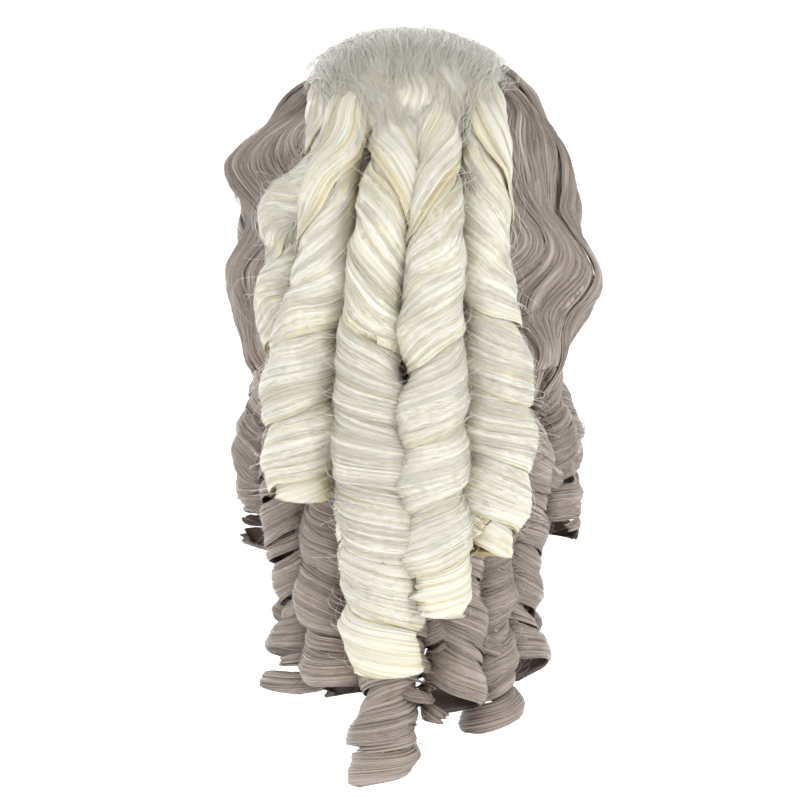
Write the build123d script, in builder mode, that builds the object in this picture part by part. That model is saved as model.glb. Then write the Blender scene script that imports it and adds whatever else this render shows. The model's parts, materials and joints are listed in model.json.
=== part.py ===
"""A costume wig on its cap: a net cap with elastic bands and nape adjusters, wavy taupe hair swept back
from the face, an ivory crown, and hanging ringlets in both colours.

Millimetres. +Z is up, -Y is the wearer's face and +X is the wearer's left. The origin is the centre of the
head opening, at the height of the headband line.
"""

from build123d import *

import os
from math import acos, atan, cos, degrees, radians, sin, sqrt, tan

os.makedirs("parts", exist_ok=True)

# The head form that the cap is sewn to: a dome above DOME_Z, and a tapering skirt below it.
HEAD_X = 77.0
HEAD_Y = 97.0
DOME_Z = 15.0
NAPE_Z = -60.0
NAPE_X = 66.0
NAPE_Y = 76.0

# The cap's layers, as distances outside (+) or inside (-) the head form.
NET = (0.0, 1.0)
TRACK = (1.1, 2.6)
LINING = (-1.4, -0.2)
HAIR_IN = 3.0
BASE_OUT = 8.0
CROWN_OUT = 25.0
FRONT_OUT = 20.0
TEMPLE_OUT = 17.0

# Where the cap is open: the hairline plane at the face, and the ear line that rises from the nape.
HAIRLINE_FOOT = (-67.0, DOME_Z)
HAIRLINE_TOP = (-88.0, 50.0)
EAR_LINE_FOOT = (25.0, NAPE_Z)
EAR_LINE_TOP = (-10.0, 5.0)
BAND_WIDTH = 14.0

# Hair on the dome, as stations along Y and angles from straight up.
FRONT_Y = (-86.0, -50.0)
CROWN_Y = (-49.0, 70.0)
TEMPLE_Y = (-49.0, 56.0)
BACK_Y = 71.0
CROWN_ANGLE = 40.0
CROWN_LOCKS = 5
TEMPLE_ANGLE = 62.0
FRONT_ANGLE = 80.0
FRONT_PART_ANGLE = 40.0

# The three stacked swells on each side: middle X, middle Z, half thickness and half height.
# They are bent to a circle that follows the head, between two angles off straight sideways.
SWELLS = {
    "upper": (86.5, 34.0, 8.0, 17.8),
    "middle": (87.5, -4.0, 9.5, 19.5),
    "lower": (88.0, -44.0, 11.0, 20.0),
}
SWELL_BEND = 132.0
SWELL_FRONT = -20.5
SWELL_BACK = 24.0

# The wefts behind them hang in three rows between these heights, on five sewn tracks.
WEFT_Y = 59.0
WEFT_EDGES = (DOME_Z, -9.0, -34.0, NAPE_Z)
WEFT_GAP = 0.4
TRACK_Z = (6.0, -8.0, -22.0, -36.0, -50.0)
TRACK_HEIGHT = 3.0

# The inside of the cap: three lengthwise tapes, and the shaped tabs in front of the ears.
TAPE_X = (-42.0, 0.0, 42.0)
TAPE_WIDTH = 10.0
TAB_Y = -36.0
TAB_LENGTH = 34.0
TAB_HALF_TOP = 14.0
TAB_HALF_FOOT = 7.0
TAB_THICK = 1.2
STAY_THICK = 0.8

# The nape adjusters run on a circle that hugs the back of the cap.
ADJUST_Y = 19.3
STRAP_R = (53.4, 54.8)
CASING_R = (52.3, 55.9)
CASING_WALL = 0.6
STRAP_HEIGHT = 8.0
CASING_HEIGHT = 10.4
STRAP_Z = -52.0
STRAP_ANGLES = (26.0, 62.0)
CASING_ANGLES = (37.0, 64.0)
LOOP_ANGLES = (10.0, 18.0, 26.0)
LOOP_R = (55.1, 55.8)
LOOP_HEIGHT = 9.0
LOOP_RIM = 1.5
LOOP_HALF_TURN = 2.8
HOOK_LENGTH = 7.0
HOOK_RIM = 2.0
HOOK_FINGER = 2.0
HOOK_FINGER_HEIGHT = 3.0

# Ringlets: the root that it swings about, the place that it hangs at, its lower end and its radius.
# name: (root x, y, z), (hanging x, y), bend z, lower end z, radius
CREAM_RINGLETS = {
    "cream_ringlet_1": ((67.5, 79.0, 42.0), (72.5, 80.0), 20.0, -52.0, 8.2),
    "cream_ringlet_2": ((50.5, 92.0, 66.0), (53.5, 104.5), 42.0, -122.0, 15.5),
    "cream_ringlet_3": ((17.6, 98.0, 76.0), (17.6, 124.0), 50.0, -208.0, 15.2),
    "cream_ringlet_4": ((-13.4, 100.0, 78.0), (-13.4, 130.0), 48.0, -177.0, 15.2),
    "cream_ringlet_5": ((-42.0, 101.0, 54.0), (-43.0, 111.0), 32.0, -151.0, 15.5),
    "cream_split_curl": ((28.3, 102.6, -48.0), (28.3, 102.6), None, -166.0, 8.0),
}
TAUPE_RINGLETS = {
    "nape_ringlet_1": ((42.0, 70.0, -80.0), (42.0, 70.0), None, -230.0, 15.5),
    "nape_ringlet_2": ((10.0, 83.0, -80.0), (10.0, 83.0), None, -274.0, 15.5),
    "nape_ringlet_3": ((-23.0, 79.0, -80.0), (-23.0, 79.0), None, -242.0, 15.5),
    "nape_ringlet_4": ((-40.0, 51.6, -80.0), (-42.0, 54.0), -105.0, -250.0, 15.5),
    "left_ringlet_1": ((59.0, 36.0, -80.0), (62.0, 38.0), -105.0, -232.0, 15.5),
    "left_ringlet_2": ((74.0, 7.6, -80.0), (78.0, 8.0), -105.0, -156.0, 15.5),
    "left_ringlet_3": ((76.0, -26.6, -80.0), (80.0, -28.0), -100.0, -136.0, 14.0),
    "right_ringlet_1": ((-55.0, 22.8, -80.0), (-58.0, 24.0), -105.0, -230.0, 15.5),
    "right_ringlet_2": ((-72.0, -5.7, -80.0), (-76.0, -6.0), -105.0, -156.0, 15.5),
    "right_ringlet_3": ((-76.0, -40.0, -80.0), (-80.0, -42.0), -100.0, -136.0, 14.0),
}
BEND_SHARE = 0.8
TIP_ROUNDING = 4.0

# Longer than the wig, for cuts that go right through it.
FAR = 400.0

made = {}


def keep(name, part):
    """Labels a finished piece and writes its STEP file."""
    part.label = name
    export_step(part, f"parts/{name}.step")
    made[name] = part


def form_radii(z, out):
    """Half width and half depth of the skirt at height z, a distance out from the head form."""
    share = (DOME_Z - z) / (DOME_Z - NAPE_Z)
    return HEAD_X + share * (NAPE_X - HEAD_X) + out, HEAD_Y + share * (NAPE_Y - HEAD_Y) + out


def rising_plane(foot, top):
    """A plane along X through two (y, z) points, facing the back of the head."""
    along = Vector(0, top[0] - foot[0], top[1] - foot[1]).normalized()
    return Plane(origin=(0, foot[0], foot[1]), x_dir=(1, 0, 0), z_dir=Vector(1, 0, 0).cross(-along))


hairline = rising_plane(HAIRLINE_FOOT, HAIRLINE_TOP)
ear_line = rising_plane(EAR_LINE_FOOT, EAR_LINE_TOP)
crown_axis = Axis((0, 0, DOME_Z), (0, 1, 0))


def dome_piece(layer, stations, angles):
    """A piece of the dome between two layers and two Y stations, turned from one angle to another."""
    inner, outer = layer
    first, last = angles
    turn = radians(first)
    start = Plane(origin=(0, 0, DOME_Z), x_dir=(0, 1, 0), z_dir=(cos(turn), 0, -sin(turn)))
    with BuildPart() as piece:
        with BuildSketch(start):
            Ellipse(HEAD_Y + outer, HEAD_X + outer)
            Ellipse(HEAD_Y + inner, HEAD_X + inner, mode=Mode.SUBTRACT)
            with Locations(((stations[0] + stations[1]) / 2, FAR / 2)):
                Rectangle(stations[1] - stations[0], FAR, mode=Mode.INTERSECT)
        revolve(axis=crown_axis, revolution_arc=last - first)
    return piece


def skirt_piece(layer, z_low, z_high):
    """A band of the skirt between two layers and two heights, behind the ear line."""
    with BuildPart() as piece:
        for out, mode in ((layer[1], Mode.ADD), (layer[0], Mode.SUBTRACT)):
            with BuildSketch(Plane.XY.offset(z_low)) as low:
                Ellipse(*form_radii(z_low, out))
            with BuildSketch(Plane.XY.offset(z_high)) as high:
                Ellipse(*form_radii(z_high, out))
            loft([low.sketch, high.sketch], mode=mode)
        split(bisect_by=ear_line, keep=Keep.TOP)
    return piece


# The cap.


def make_nets():
    crown = dome_piece(NET, (-HEAD_Y - 2, HEAD_Y + 2), (-90, 90))
    with BuildPart() as crown_net:
        add(crown.part)
        split(bisect_by=hairline, keep=Keep.TOP)
    keep("crown_net", crown_net.part)
    keep("nape_net", skirt_piece(NET, NAPE_Z, DOME_Z).part)


def make_bands():
    lining = dome_piece(LINING, (-HEAD_Y - 2, HEAD_Y + 2), (-90, 90))
    with BuildPart() as front_band:
        add(lining.part)
        split(bisect_by=hairline, keep=Keep.TOP)
        split(bisect_by=hairline.offset(BAND_WIDTH), keep=Keep.BOTTOM)
    keep("front_band", front_band.part)
    keep("nape_band", skirt_piece(LINING, NAPE_Z, NAPE_Z + BAND_WIDTH + 2).part)

    strips = []
    for x in TAPE_X:
        with BuildPart() as strip:
            add(lining.part)
            split(bisect_by=hairline.offset(BAND_WIDTH + 0.5), keep=Keep.TOP)
            with Locations((x, 0, DOME_Z + HEAD_Y)):
                Box(TAPE_WIDTH, 3 * HEAD_Y, 2 * HEAD_Y, mode=Mode.INTERSECT)
        strips += strip.part.solids()
    keep("crown_tapes", Compound(strips))


def make_ear_tabs():
    """Shaped tabs that lie on the head in front of the ears, each with a springy stay on its inside face."""
    slope = atan((HEAD_X / HEAD_Y) * tan(radians(90) - acos(TAB_Y / HEAD_Y)))
    x_on_head = HEAD_X * sqrt(1 - (TAB_Y / HEAD_Y) ** 2)
    for side, name in ((1, "left"), (-1, "right")):
        outward = Vector(side * cos(slope), sin(slope), 0)
        foot = Vector(side * x_on_head, TAB_Y, DOME_Z - 0.2) - outward * (TAB_THICK + 0.2)
        outline = Plane(origin=foot, x_dir=Vector(0, 0, 1).cross(outward), z_dir=outward)
        with BuildPart() as tab:
            with BuildSketch(outline):
                with BuildLine():
                    Polyline(
                        (-TAB_HALF_TOP, 0),
                        (TAB_HALF_TOP, 0),
                        (TAB_HALF_FOOT, -TAB_LENGTH),
                        (-TAB_HALF_FOOT, -TAB_LENGTH),
                        close=True,
                    )
                make_face()
                fillet(vertices().sort_by(Axis.Z)[:2], radius=TAB_HALF_FOOT - 1)
            extrude(amount=TAB_THICK)
        keep(f"ear_tab_{name}", tab.part)
        with BuildPart() as stay:
            with BuildSketch(outline.offset(-STAY_THICK - 0.1)):
                with Locations((0, -TAB_LENGTH / 2)):
                    SlotOverall(TAB_LENGTH - 8, 4, rotation=90)
            extrude(amount=STAY_THICK)
        keep(f"ear_stay_{name}", stay.part)


def make_tracks():
    """The sewn tracks that the back wefts hang from."""
    tracks = []
    for z in TRACK_Z:
        tracks += skirt_piece(TRACK, z - TRACK_HEIGHT / 2, z + TRACK_HEIGHT / 2).part.solids()
    keep("weft_tracks", Compound(tracks))


def about_strap(height):
    """The lowest and highest Z of something this tall, level with the middle of the strap."""
    return STRAP_Z - height / 2, STRAP_Z + height / 2


def wider(radii):
    """Radii for a cut that goes right through a strip."""
    return radii[0] - 1, radii[1] + 1


def arc_piece(radii, angles, heights, side):
    """A strip on the adjusters' circle, from one angle to another off straight back."""
    z_low, z_high = heights
    first, last = (90 - side * a for a in angles)
    low, high = min(first, last), max(first, last)
    turn = radians(low)
    start = Plane(origin=(0, ADJUST_Y, 0), x_dir=(cos(turn), sin(turn), 0), z_dir=(sin(turn), -cos(turn), 0))
    with BuildPart() as piece:
        with BuildSketch(start):
            with Locations(((radii[0] + radii[1]) / 2, (z_low + z_high) / 2)):
                Rectangle(radii[1] - radii[0], z_high - z_low)
        revolve(axis=Axis((0, ADJUST_Y, 0), (0, 0, 1)), revolution_arc=high - low)
    return piece


def make_adjusters():
    """Straps that slide in casings at the nape, with a hook each, and the loops that the hooks take."""
    z_strap = about_strap(STRAP_HEIGHT)
    z_casing = about_strap(CASING_HEIGHT)
    tunnel = (CASING_R[0] + CASING_WALL, CASING_R[1] - CASING_WALL)
    z_tunnel = about_strap(CASING_HEIGHT - 2 * CASING_WALL)
    hollow = (CASING_ANGLES[0] - 5, CASING_ANGLES[1] + 5)
    per_mm = degrees(1 / STRAP_R[0])
    loops = []
    for side, name in ((1, "left"), (-1, "right")):
        keep(f"adjuster_strap_{name}", arc_piece(STRAP_R, STRAP_ANGLES, z_strap, side).part)
        with BuildPart() as casing:
            add(arc_piece(CASING_R, CASING_ANGLES, z_casing, side).part)
            add(arc_piece(tunnel, hollow, z_tunnel, side).part, mode=Mode.SUBTRACT)
        keep(f"strap_casing_{name}", casing.part)

        root = STRAP_ANGLES[0]
        finger = root - (HOOK_LENGTH - HOOK_FINGER) * per_mm
        eye = (finger + HOOK_RIM * per_mm, root - HOOK_RIM * per_mm)
        z_eye = about_strap(STRAP_HEIGHT - 2 * HOOK_RIM)
        with BuildPart() as hook:
            add(arc_piece(STRAP_R, (finger, root), z_strap, side).part)
            add(arc_piece(wider(STRAP_R), eye, z_eye, side).part, mode=Mode.SUBTRACT)
            tip = (finger - HOOK_FINGER * per_mm, finger)
            add(arc_piece(STRAP_R, tip, about_strap(HOOK_FINGER_HEIGHT), side).part)
        keep(f"adjuster_hook_{name}", hook.part)

        for angle in LOOP_ANGLES:
            ring = (angle - LOOP_HALF_TURN, angle + LOOP_HALF_TURN)
            gap = (angle - LOOP_HALF_TURN / 2, angle + LOOP_HALF_TURN / 2)
            with BuildPart() as loop:
                add(arc_piece(LOOP_R, ring, about_strap(LOOP_HEIGHT), side).part)
                z_gap = about_strap(LOOP_HEIGHT - 2 * LOOP_RIM)
                add(arc_piece(wider(LOOP_R), gap, z_gap, side).part, mode=Mode.SUBTRACT)
            loops += loop.part.solids()
    keep("adjuster_loops", Compound(loops))


# The hair that stays on the cap.


def make_dome_hair():
    """Hair swept back over the dome: a front roll, ivory crown locks, temple panels and a back weft."""
    parts = ("right", -FRONT_ANGLE, -FRONT_PART_ANGLE), ("centre", -FRONT_PART_ANGLE, FRONT_PART_ANGLE)
    for name, first, last in (*parts, ("left", FRONT_PART_ANGLE, FRONT_ANGLE)):
        roll = dome_piece((HAIR_IN, FRONT_OUT), FRONT_Y, (first, last))
        keep(f"front_roll_{name}", roll.part)
    lock_turn = 2 * CROWN_ANGLE / CROWN_LOCKS
    for i in range(CROWN_LOCKS):
        first = CROWN_ANGLE - (i + 1) * lock_turn
        lock = dome_piece((HAIR_IN, CROWN_OUT), CROWN_Y, (first, first + lock_turn))
        keep(f"crown_lock_{i + 1}", lock.part)
    for name, first in (("left", CROWN_ANGLE), ("right", -TEMPLE_ANGLE)):
        turn = (first, first + TEMPLE_ANGLE - CROWN_ANGLE)
        keep(f"temple_panel_{name}", dome_piece((HAIR_IN, TEMPLE_OUT), TEMPLE_Y, turn).part)
    back = dome_piece((HAIR_IN, BASE_OUT), (BACK_Y, HEAD_Y + 2 * BASE_OUT), (-90, 90))
    keep("back_weft_crown", back.part)


def make_back_wefts():
    """Three rows of wefts that hang round the back of the skirt."""
    for i, name in enumerate(("upper", "middle", "lower")):
        with BuildPart() as row:
            add(skirt_piece((HAIR_IN, BASE_OUT), WEFT_EDGES[i + 1], WEFT_EDGES[i] - WEFT_GAP).part)
            split(bisect_by=Plane.XZ.offset(-WEFT_Y), keep=Keep.BOTTOM)
        keep(f"back_weft_{name}", row.part)


def make_swells():
    """Three stacked swells of waved hair on each side, bent to follow the head."""
    for side, side_name in ((1, "left"), (-1, "right")):
        for name, (x, z, thick, high) in SWELLS.items():
            centre_x = side * (x - SWELL_BEND)
            first, last = (SWELL_FRONT, SWELL_BACK) if side > 0 else (180 - SWELL_BACK, 180 - SWELL_FRONT)
            turn = radians(first)
            start = Plane(
                origin=(centre_x, 0, 0), x_dir=(cos(turn), sin(turn), 0), z_dir=(sin(turn), -cos(turn), 0)
            )
            with BuildPart() as swell:
                with BuildSketch(start):
                    with Locations((SWELL_BEND, z)):
                        Ellipse(thick, high)
                revolve(axis=Axis((centre_x, 0, 0), (0, 0, 1)), revolution_arc=last - first)
            keep(f"side_wave_{side_name}_{name}", swell.part)


# The ringlets.


def ringlet(root, hang, bend_z, low_z, radius):
    """A round-topped tube from its root, out to where it hangs, and straight down."""
    tip = (*hang, low_z)
    with BuildPart() as curl:
        with BuildLine() as route:
            if bend_z is None:
                Line(root, tip)
            else:
                bend = Vector(*hang, bend_z)
                slope = Vector(*root) - bend
                turn = Vector(0, 0, 1).get_angle(slope)
                reach = BEND_SHARE * min(slope.length, bend_z - low_z)
                FilletPolyline(root, tuple(bend), tip, radius=reach / tan(radians(turn / 2)))
        with BuildSketch(Plane(origin=route.line @ 0, z_dir=route.line % 0)):
            Circle(radius)
        sweep(path=route.line)
        fillet(edges().sort_by(Axis.Z)[0], radius=TIP_ROUNDING)
        with Locations(root):
            Sphere(radius)
    return curl


def make_ringlets():
    for name, row in {**CREAM_RINGLETS, **TAUPE_RINGLETS}.items():
        keep(name, ringlet(*row).part)


make_nets()
make_bands()
make_ear_tabs()
make_tracks()
make_adjusters()
make_dome_hair()
make_back_wefts()
make_swells()
make_ringlets()

boxes = [part.bounding_box() for part in made.values()]
size = [max(getattr(b.max, k) for b in boxes) - min(getattr(b.min, k) for b in boxes) for k in "XYZ"]
print(len(made), "nodes, overall", [round(s, 1) for s in size])
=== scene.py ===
"""The looks of a two-tone costume wig: every lock is laid as bands and strands of hair along its own flow."""

import json
from math import cos, pi, radians, sin

import bpy
import numpy as np
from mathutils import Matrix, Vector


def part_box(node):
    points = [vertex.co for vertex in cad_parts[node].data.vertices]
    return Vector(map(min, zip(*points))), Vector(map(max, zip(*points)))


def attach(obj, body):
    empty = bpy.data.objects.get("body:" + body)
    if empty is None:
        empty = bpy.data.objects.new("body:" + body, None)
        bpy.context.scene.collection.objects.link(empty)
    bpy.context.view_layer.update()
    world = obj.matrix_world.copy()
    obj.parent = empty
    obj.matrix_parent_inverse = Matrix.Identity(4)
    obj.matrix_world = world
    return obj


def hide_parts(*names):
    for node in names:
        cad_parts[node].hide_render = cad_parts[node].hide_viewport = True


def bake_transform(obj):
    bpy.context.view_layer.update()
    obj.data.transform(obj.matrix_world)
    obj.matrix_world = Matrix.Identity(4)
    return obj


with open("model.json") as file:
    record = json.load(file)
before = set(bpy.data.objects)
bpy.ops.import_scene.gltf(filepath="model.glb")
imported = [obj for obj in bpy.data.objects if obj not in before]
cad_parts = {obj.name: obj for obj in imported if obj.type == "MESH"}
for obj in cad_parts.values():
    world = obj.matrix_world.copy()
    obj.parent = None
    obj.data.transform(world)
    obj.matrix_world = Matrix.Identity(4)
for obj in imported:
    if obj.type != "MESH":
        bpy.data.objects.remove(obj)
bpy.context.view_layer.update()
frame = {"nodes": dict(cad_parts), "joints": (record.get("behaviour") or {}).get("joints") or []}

SEED = 20250
MM = 0.001

# The head form under the cap, as in the CAD model: a dome above DOME_Z and a tapering skirt below it.
HEAD_X = 77 * MM
HEAD_Y = 97 * MM
DOME_Z = 15 * MM
NAPE_Z = -60 * MM
NAPE_X = 66 * MM
NAPE_Y = 76 * MM


# ---------------------------------------------------------------- numbers along a line


def rng_for(name):
    """A random source that depends only on the piece's name."""
    return np.random.default_rng([SEED, *name.encode()])


def smoothstep(x, low=0.0, high=1.0):
    share = np.clip((np.asarray(x, float) - low) / (high - low), 0, 1)
    return share * share * (3 - 2 * share)


def unit(v):
    return v / np.maximum(np.linalg.norm(v, axis=-1, keepdims=True), 1e-12)


def drift(rng, t, wave, size):
    """A slow random wander of about the given size, with waves about this long in t."""
    t = np.asarray(t, float)
    total = np.zeros_like(t)
    for share in (1.0, 0.53, 0.31):
        total += share * np.sin(2 * pi * t / (wave * share) + rng.uniform(0, 2 * pi))
    return total * size / 1.5


def spline(points, spacing=2 * MM):
    """A smooth line through the points, resampled at an even spacing."""
    points = np.asarray(points, float)
    padded = np.vstack([2 * points[0] - points[1], points, 2 * points[-1] - points[-2]])
    share = np.linspace(0, 1, 40, endpoint=False)[:, None]
    runs = []
    for a, b, c, d in zip(padded, padded[1:], padded[2:], padded[3:]):
        runs.append(
            0.5 * (2 * b + (c - a) * share + (2 * a - 5 * b + 4 * c - d) * share**2
                   + (3 * b - a - 3 * c + d) * share**3)
        )
    line = np.vstack([*runs, points[-1:]])
    along = np.concatenate([[0], np.cumsum(np.linalg.norm(np.diff(line, axis=0), axis=1))])
    even = np.linspace(0, along[-1], max(8, int(along[-1] / spacing)))
    return np.stack([np.interp(even, along, line[:, k]) for k in range(3)], axis=1), even


def fibres(rng, rows, columns, row_keys, width):
    """Heights, about -2 to 2, of hair lying lengthwise: rough across the columns and smooth along the rows.
    width is how many columns wide a clump of hair is."""
    place = np.linspace(0, row_keys - 1.001, rows)
    low = place.astype(int)
    mix = smoothstep(place - low)[:, None]
    keys = rng.normal(size=(row_keys + 1, columns + 4 * width + 8))
    kernel = np.hanning(2 * width + 1)[1:-1] if width > 1 else np.array([0.25, 0.5, 0.25])
    keys = np.array([np.convolve(k, kernel / np.linalg.norm(kernel), "same") for k in keys])
    keys = keys[:, 2 * width + 4: 2 * width + 4 + columns]
    return np.clip((1 - mix) * keys[low] + mix * keys[low + 1], -2.2, 2.2)


def thinned(step, *lines):
    """Every so many rows of each line."""
    return [line[::step] for line in lines]


# ---------------------------------------------------------------- the surfaces that hair lies on


def form_at(z):
    """Half width and half depth of the head form's skirt at height z."""
    share = np.clip((DOME_Z - z) / (DOME_Z - NAPE_Z), 0, 1.15)
    return HEAD_X + share * (NAPE_X - HEAD_X), HEAD_Y + share * (NAPE_Y - HEAD_Y)


def off_head(points):
    """The direction straight out from the head form at each point."""
    p = np.asarray(points, float)
    rise = np.maximum(p[..., 2] - DOME_Z, 0)
    return unit(np.stack([p[..., 0] / HEAD_X**2, p[..., 1] / HEAD_Y**2, rise / HEAD_X**2], axis=-1))


def on_skirt(near, z, out):
    """The point off the skirt at height z that is on the same side of the head as another point."""
    half_x, half_y = form_at(z)
    turn = np.arctan2(near[1] / half_y, near[0] / half_x)
    return np.array([(half_x + out) * np.cos(turn), (half_y + out) * np.sin(turn), z])


def dome_point(lean, roll, out):
    """A point over the dome: lean is the angle from straight up about Y, and roll goes from the face, 0, to
    the back of the head, pi."""
    reach = (HEAD_X + out) * np.sin(roll)
    return np.stack(
        [reach * np.sin(lean), -(HEAD_Y + out) * np.cos(roll), DOME_Z + reach * np.cos(lean)], axis=-1
    )


class Crown:
    """Hair that runs from the hairline back over the dome. t is the roll and v is the lean."""

    def __init__(self, out, spread=None):
        self.out = out
        self.spread = spread or (lambda roll, lean: lean)

    def lay(self, t, v, height):
        lean = self.spread(t, v)
        base = dome_point(lean, t, self.out(t, v))
        return base + off_head(base) * height[..., None]


class Side:
    """Hair that runs down one side of the head. t is the distance down, from 0 at the crown's edge, and v is
    the angle round the head from straight sideways, 0, towards the back. It starts at RISE above sideways on
    the dome, TEMPLE is how far down the dome ends, and WAVE is the length of one of its waves."""

    RISE = radians(60)
    TEMPLE = RISE * (HEAD_X + 15 * MM)
    WAVE = 58 * MM

    def __init__(self, side, profile, sway):
        self.side = side
        self.drops, self.outs = np.array(profile).T
        self.sway = sway

    def out(self, t, v):
        near = np.where(v > 0, 9 * MM, 5 * MM)
        share = np.where(v > 0, np.cos(np.clip(v * 0.95, 0, pi / 2)), np.cos(v * 1.2))
        ripple = 2.8 * MM * self.facing(t, v) * smoothstep(t, 0, 40 * MM)
        return near + ripple + (np.interp(t, self.drops, self.outs) - near) * share

    def facing(self, t, v):
        """1 on the crests of the waves and -1 in their troughs."""
        return np.sin(2 * pi * t / self.WAVE + 3.5 * v)

    def lay(self, t, v, height):
        v = v + self.sway(t, v)
        out = self.out(t, v) + height
        rise = self.RISE * (1 - np.clip(t / self.TEMPLE, 0, 1))
        z = DOME_Z - np.maximum(t - self.TEMPLE, 0)
        half_x, half_y = form_at(z)
        ring = np.cos(rise)
        return np.stack(
            [self.side * (half_x + out) * ring * np.cos(v), (half_y + out) * ring * np.sin(v),
             z + (HEAD_X + out) * np.sin(rise)], axis=-1
        )


class Back:
    """Hair that hangs down the back of the head. t is the distance below TOP and v is the angle off straight
    back."""

    TOP = 72 * MM

    def __init__(self, out):
        self.out = out

    def lay(self, t, v, height):
        z = self.TOP - t
        out = self.out(t, v) + height
        half_x, half_y = form_at(z)
        rise = np.sqrt(np.clip(1 - (np.maximum(z - DOME_Z, 0) / (HEAD_X + out)) ** 2, 0.02, 1))
        return np.stack([(half_x + out) * rise * np.sin(v), (half_y + out) * rise * np.cos(v), z], axis=-1)


class Coil:
    """Hair wound round a route. t is the distance along the route and v is the turn round it, so a fibre
    keeps one v. The rows of a band are slanted by lean, so that they cross the fibres squarely."""

    def __init__(self, route, across, deep, turn_length, hand=1, start=0.0):
        self.line, self.along = spline(route)
        self.length = self.along[-1]
        share = self.along / self.length
        self.across = np.interp(share, *np.array(across).T)
        self.deep = np.interp(share, *np.array(deep).T)
        rate = hand * 2 * pi / np.interp(share, *np.array(turn_length).T)
        step = np.diff(self.along, prepend=self.along[0])
        self.turn = start + np.cumsum(rate * step)
        ahead = unit(np.gradient(self.line, axis=0))
        out = off_head(self.line)
        self.out = unit(out - ahead * np.sum(out * ahead, axis=1, keepdims=True))
        self.aside = np.cross(ahead, self.out)
        radius = (self.across + self.deep) / 2
        self.lean = -(radius**2) * rate / (1 + (radius * rate) ** 2)
        self.fibre_step = np.sqrt(1 + (radius * rate) ** 2)

    def read(self, values, t):
        if values.ndim == 1:
            return np.interp(t, self.along, values)
        return np.stack([np.interp(t, self.along, values[:, k]) for k in range(values.shape[1])], axis=-1)

    def rows(self, first, last, fibre_length):
        """Distances along the route that are evenly spaced along a fibre."""
        here = (self.along >= first) & (self.along <= last)
        t = self.along[here]
        travelled = np.cumsum(self.fibre_step[here]) * (self.along[1] - self.along[0])
        count = max(6, int((travelled[-1] - travelled[0]) / fibre_length))
        return np.interp(np.linspace(travelled[0], travelled[-1], count), travelled, t)

    def lay(self, t, v, height, middle=0.0):
        t = np.clip(t + self.read(self.lean, t) * (v - middle), 0, self.length)
        angle = self.read(self.turn, t) + v
        aside, out = self.read(self.aside, t), self.read(self.out, t)
        across, deep = self.read(self.across, t), self.read(self.deep, t)
        ring = aside * (np.cos(angle) * (across + height))[..., None]
        return self.read(self.line, t) + ring + out * (np.sin(angle) * (deep + height))[..., None]

    def facing(self, t, v, middle=0.0):
        """1 where the hair faces away from the head, and -1 where it faces it."""
        t = np.clip(t + self.read(self.lean, t) * (v - middle), 0, self.length)
        return np.sin(self.read(self.turn, t) + v)


# ---------------------------------------------------------------- mesh building


def placed(name, data):
    """A new object in the scene."""
    made = bpy.data.objects.new(name, data)
    bpy.context.scene.collection.objects.link(made)
    return made


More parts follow.
